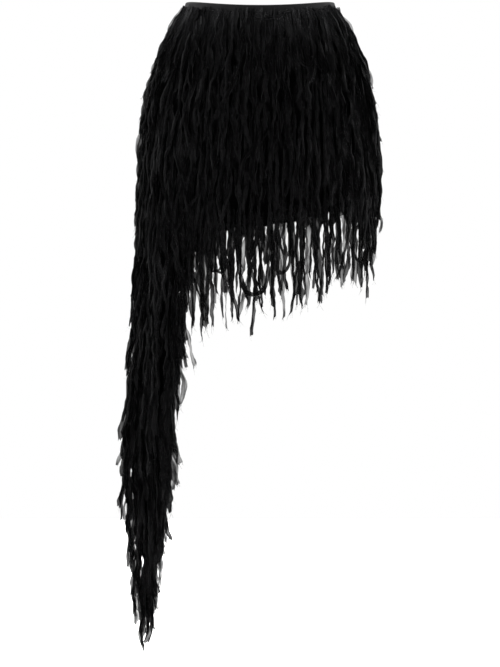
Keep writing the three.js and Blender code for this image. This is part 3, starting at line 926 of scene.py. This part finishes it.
def side_by_side(count):
    """A pair for each point of each strip, with the strips laid flat side by side."""
    across = math.ceil(math.sqrt(count * MAP_SHAPE))
    down = math.ceil(count / across)
    number = np.arange(count)
    u = np.linspace(*MAP_ACROSS, RIBS + 1)[None, None, :] + (number % across)[:, None, None]
    v = np.linspace(*MAP_DOWN, STATIONS)[None, :, None] + (number // across)[:, None, None]
    u, v = np.broadcast_arrays(u / across, v / down)
    return np.stack([u, v], -1).reshape(-1, 2)


def frayed_ends(rng, points):
    """Loose threads that hang on from the end of each strip, as points and faces."""
    count = len(points)
    pick = rng.integers(0, RIBS + 1, (count, FRAY_THREADS))
    at_end = np.take_along_axis(points[:, -1], pick[..., None], axis=1)
    before = np.take_along_axis(points[:, FRAY_AIMED_FROM], pick[..., None], axis=1)
    ahead = unit(unit(at_end - before) + rng.normal(0, FRAY_SCATTER, at_end.shape))
    share = np.linspace(0, 1, FRAY_STATIONS)[:, None]
    length = rng.uniform(*FRAY_LENGTH, (count, FRAY_THREADS, 1, 1))
    bow = rng.normal(0, FRAY_BOW, (count, FRAY_THREADS, 1, 3))
    bow = np.clip(bow, -MOST_FRAY_BOW, MOST_FRAY_BOW) * share**2
    middle = at_end[:, :, None, :] + length * (ahead[:, :, None, :] * share + bow)
    half = unit(rng.normal(0, 1, (count, FRAY_THREADS, 1, 3))) * FRAY_WIDTH / 2
    both = np.stack([middle - half, middle + half], axis=3)
    each = FRAY_STATIONS * 2
    start = np.arange(count * FRAY_THREADS)[:, None, None] * each
    faces = grid_faces(FRAY_STATIONS, 2)[None] + start
    return both.reshape(-1, 3), faces.reshape(-1, 4)


def strips(name, rng, path, normal, length, width, curl, gathered, turned, material):
    """One mesh of chiffon strips. Each is a ribbon whose section curls, opens and twists."""
    count = len(path)
    distance = length[:, None] * ALONG
    along = unit(np.gradient(path, axis=1))
    sideways = unit(np.cross(along, normal))
    facing = np.cross(sideways, along)
    x, y, cut = strip_sections(rng, distance, width, curl, gathered, turned)
    beyond = torn_end(rng, cut)
    points = (
        path[:, :, None]
        + sideways[:, :, None] * x[..., None]
        + facing[:, :, None] * y[..., None]
        + along[:, :, None] * beyond[..., None]
    )
    per_strip = STATIONS * (RIBS + 1)
    faces = grid_faces(STATIONS, RIBS + 1)[None] + np.arange(count)[:, None, None] * per_strip
    u = ACROSS * cut[..., None] + rng.uniform(0, 1, (count, 1, 1))
    v = distance[..., None] + beyond + rng.uniform(0, 1, (count, 1, 1))
    uv = np.stack([u, v], -1).reshape(-1, 2)
    slots = np.repeat(material, faces.shape[1])
    loose_points, loose_faces = frayed_ends(rng, points)

    def with_threads(pairs):
        """The pairs, and each strip's last one for the points of its threads."""
        last = pairs.reshape(count, per_strip, 2)[:, -1]
        return np.concatenate([pairs, np.repeat(last, len(loose_points) // count, axis=0)])

    return new_mesh(
        name,
        np.concatenate([points.reshape(-1, 3), loose_points]),
        np.concatenate([faces.reshape(-1, 4), loose_faces + count * per_strip]),
        with_threads(uv),
        [MATERIALS["rolled_chiffon"], MATERIALS["open_chiffon"]],
        np.concatenate([slots, np.zeros(len(loose_faces))]),
        with_threads(side_by_side(count)),
    )


def evenly(rng, steps, cloth, spacing, scatter):
    """Angles a spacing apart, by how much cloth lies between each two steps of the angle."""
    so_far = np.concatenate([[0], np.cumsum(cloth)])
    count = int(round(so_far[-1] / spacing))
    even = (np.arange(count) + rng.uniform(*scatter, count)) / max(count, 1) * so_far[-1]
    return np.interp(even, so_far, steps)


def spread(rng, first, last, top, bottom, per_square_metre, at_hem):
    """Angles and heights of roots, spread evenly over a band of the form."""
    steps = np.linspace(first, last, AREA_STEPS)
    upper, lower = top(steps), bottom(steps)
    middle = (upper + lower) / 2
    over_hem = middle - hem_height(steps)
    density = at_hem + (1 - at_hem) * smooth_step(0, SPARSE_UP_TO, over_hem)
    cloth = np.maximum(upper - lower, 0) * round_speed(steps, middle) * density
    cloth = cloth[1:] * np.radians(np.diff(steps))
    angle = evenly(rng, steps, cloth, 1 / per_square_metre, (0, 1))
    high, low = top(angle), bottom(angle)
    scatter = rng.uniform(-GOLDEN_SCATTER, GOLDEN_SCATTER, len(angle))
    golden = np.mod(np.arange(len(angle)) * GOLDEN_SHARE + scatter, 1)
    return angle, high + (low - high) * golden


def in_line(rng, first, last, height, spacing, over, highest=math.inf, lowest=-math.inf):
    """Roots in a line, where its height is between two heights. over has how high over it."""
    steps = np.linspace(first, last, LINE_STEPS)
    z = height(steps)
    level = round_speed(steps, z)[1:] * np.radians(np.diff(steps))
    cloth = np.hypot(level, np.diff(z)) * ((z <= highest) & (z > lowest))[1:]
    angle = evenly(rng, steps, cloth, spacing, LINE_SCATTER)
    return angle, height(angle) + rng.uniform(*over, len(angle))


def hem_length(angle, place):
    """How long the strips at the hem are, beside their place's own length."""
    return smooth_curve(HEM_LENGTH["from_short_side"], HEM_LENGTH[place], from_short_side(angle))


def strip_lengths(rng, angle, z, place):
    """The length of each strip, by where it starts."""
    count = len(angle)
    here, at_hem = PLACE[place], PLACE["hem"]
    length = rng.uniform(here["shortest"], here["longest"], count)
    if place in ("train", "edge"):
        lowest = LOWEST_END + TIP_CURVE * (180 - from_short_side(angle)) ** 2
        return np.minimum(length, z - lowest + rng.uniform(*TIP_SCATTER, count))
    if place in ("hem", "cover"):
        return length * hem_length(angle, place)
    own = (z - hem_height(angle) < OVER_HEM) & (hem_height(angle) > EDGE_TOP)
    lowest = SHORT_SIDE_END - LONG_SIDE_DROP * smooth_step(*SHORT_SIDE, from_short_side(angle))
    short = np.maximum(z - lowest + rng.uniform(*SHORT_SIDE_SCATTER, count), SHORTEST_STRIP)
    longer = rng.uniform(at_hem["shortest"], at_hem["longest"], count)
    longer *= hem_length(angle, "hem")
    return np.where(own, longer, np.minimum(length, short))


def strip_leans(rng, angle, z, leaning, crossing_share):
    """How much each strip leans; on the train's edges they lean away from it."""
    count = len(angle)
    crossing = rng.random(count) < crossing_share
    across = rng.uniform(-CROSSING_LEAN, CROSSING_LEAN, count)
    lean = np.where(crossing, across, rng.normal(0, leaning, count))
    near_edge = (z - hem_height(angle) < EDGE_MARGIN) & (hem_height(angle) < EDGE_TOP)
    away = np.where(np.mod(angle, 360) < 180, -1, 1) * rng.uniform(*EDGE_LEAN, count)
    away *= np.interp(z, EDGE_LEAN_HEIGHTS, EDGE_LEAN_SHARES)
    return np.where(near_edge, away, lean)


def hung_strips(rng, place, angle, z):
    """What strips() needs of the strips that start at one kind of place."""
    count = len(angle)
    here = PLACE[place]
    shares = [here[name] for name in ("rolled", "half_open", "open")]
    pick = rng.choice(len(KINDS), count, p=shares)
    length = strip_lengths(rng, angle, z, place)
    lean = strip_leans(rng, angle, z, here["lean"], here["crossing"])
    hooked = rng.random(count) < HOOKED_SHARE
    most_hook = MOST_HOOK * length
    hook = rng.normal(0, np.where(hooked, HOOK, SLIGHT_HOOK))
    hook = np.clip(hook, -most_hook, most_hook)
    is_loose = (rng.random(count) < LOOSE_SHARE) * (place != "band")
    loose = is_loose * rng.uniform(*LOOSE, count)
    near_long_side = np.abs(np.mod(angle, 360) - 180) < 180 - FLARE_FROM
    flares = near_long_side & (rng.random(count) < FLARING)
    flick = flares * rng.uniform(*FLARE, count) * np.interp(z, FLARE_HEIGHTS, FLARE_SHARES)
    rolled = pick == 0
    any_way = rng.uniform(0, 2 * math.pi, count)
    turned = np.where(rolled, any_way, rng.normal(0, here["turn"], count))
    path, normal = strip_paths(rng, angle, z, length, lean, hook, loose, flick, here["wave"])
    return {
        "path": path,
        "normal": normal,
        "length": length,
        "width": rng.uniform(KIND["narrow"][pick], KIND["wide"][pick]) * here["cut"],
        "curl": rng.uniform(KIND["least_curl"][pick], KIND["most_curl"][pick]),
        "gathered": np.full(count, here["gathered"]),
        "turned": turned,
        "material": KIND["material"][pick],
    }


def placed_strip(row, width, curl, material, out, points):
    """What strips() needs of one listed strip."""
    path, normal, length = placed_path(row.split("_")[0], out, points)
    values = {
        "path": path, "normal": normal, "length": length, "width": width / MILLIMETRES,
        "curl": curl, "gathered": PLACED_GATHERED, "turned": 0, "material": material,
    }
    return {key: np.array([value]) for key, value in values.items()}


def fringe_piece(row_name, rng, roots):
    """The strips of one row. roots has the roots of each group with the kind of their place."""
    parts = [hung_strips(rng, place, *at) for place, at in roots]
    placed = named_rows(PLACED_COLUMNS, PLACED)
    parts += [placed_strip(**strip) for strip in placed if strip["row"] == row_name]
    whole = {key: np.concatenate([part[key] for part in parts]) for key in parts[0]}
    piece = strips("strips_" + row_name, rng, **whole)
    stand_in(piece, "fringe_" + row_name)
    return piece


def body_fringe(side, row):
    first = 0 if side == "front" else 180
    last = first + 180
    rng = np.random.default_rng(ROW_SEED * row + first)
    last_row = row == BODY_ROWS - 1

    def top(angle):
        return row_height(row, angle) if row else panel_top(angle)

    def bottom(angle):
        if last_row:
            return np.maximum(hem_height(angle) + LOWEST_ROOTS, TRAIN_FIRST_ROW)
        return row_height(row + 1, angle)

    roots = [("body", spread(rng, first, last, top, bottom, *DENSITY["body"]))]
    if row == 0:
        line = in_line(rng, first, last, panel_top, BAND_STRIP_SPACING, BAND_STRIP_ROOTS)
        roots.append(("band", line))
    if last_row:
        for place, spacing, lowest in HEM_LINES:
            line = in_line(rng, first, last, hem_height, spacing, HEM_STRIP_ROOTS, lowest=lowest)
            roots.append((place, line))
    return fringe_piece(f"{side}_{row + 1}", rng, roots)


def train_fringe(row):
    rng = np.random.default_rng(TRAIN_SEED + row)
    upper = TRAIN_FIRST_ROW - row * TRAIN_ROW_STEP
    lower = max(upper - TRAIN_ROW_STEP, LOWEST_ROOT)

    def top(angle):
        return np.full_like(angle, upper)

    def bottom(angle):
        return np.minimum(np.maximum(hem_height(angle) + LOWEST_ROOTS, lower), upper)

    roots = [
        ("train", spread(rng, *TRAIN_SPAN, top, bottom, *DENSITY["train"])),
        ("edge", in_line(
            rng, *TRAIN_SPAN, hem_height, EDGE_STRIP_SPACING, HEM_STRIP_ROOTS, upper, lower
        )),
    ]
    return fringe_piece(f"train_{row + 1}", rng, roots)


camera()
studio()
train = [train_fringe(row) for row in range(TRAIN_ROWS)]
front = [body_fringe("front", row) for row in range(BODY_ROWS)]
back = [body_fringe("back", row) for row in range(BODY_ROWS)]
waistband()
panel("front")
panel("back")
